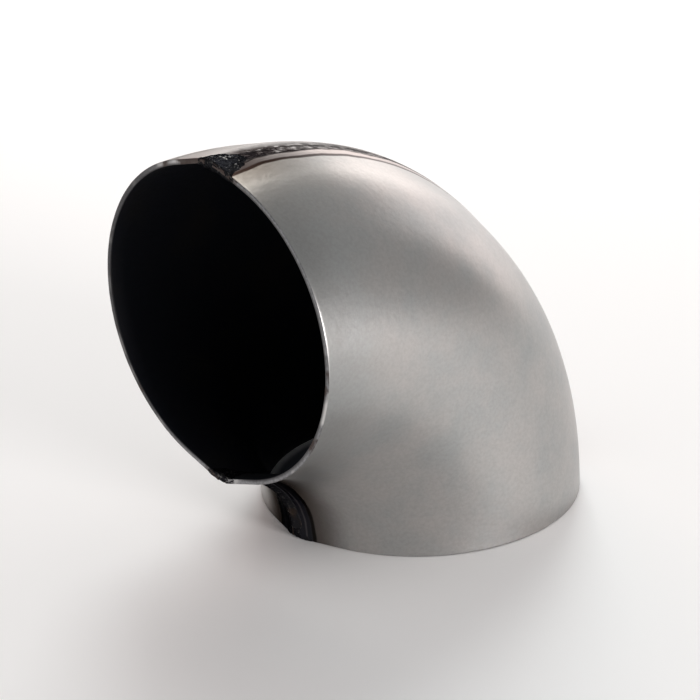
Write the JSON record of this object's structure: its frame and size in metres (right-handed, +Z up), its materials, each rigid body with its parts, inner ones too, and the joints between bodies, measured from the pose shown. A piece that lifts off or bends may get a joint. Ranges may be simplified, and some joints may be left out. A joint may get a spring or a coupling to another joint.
{
  "type": "flue elbow",
  "caption": "Ninety-degree short-radius steel flue elbow, pressed as two half shells and welded along the back and the throat.",
  "frame": {"origin": "middle of the bottom of the elbow's box, which is the plane of its foot opening", "axes": "+Z up, the foot opening faces -Z, the mouth faces -Y, and X = 0 is the plane of the bend and of both weld seams"},
  "size_m": [0.12, 0.16, 0.16],
  "materials": {
    "drawn_steel": "satin pressed steel with fine orange peel; near-black scale on the inner wall",
    "ground_weld": "weld bead ground nearly flush, with mottled scratches and dark pits",
    "raw_weld": "rippled weld bead as laid, with dark oxide"
  },
  "bodies": {
    "root": {"right_half_shell": "drawn_steel", "left_half_shell": "drawn_steel", "back_seam_weld": "ground_weld", "throat_seam_weld": "raw_weld", "foot_back_tack": "raw_weld", "mouth_back_tack": "raw_weld", "foot_throat_tack": "raw_weld", "mouth_throat_tack": "raw_weld"}
  },
  "joints": []
}
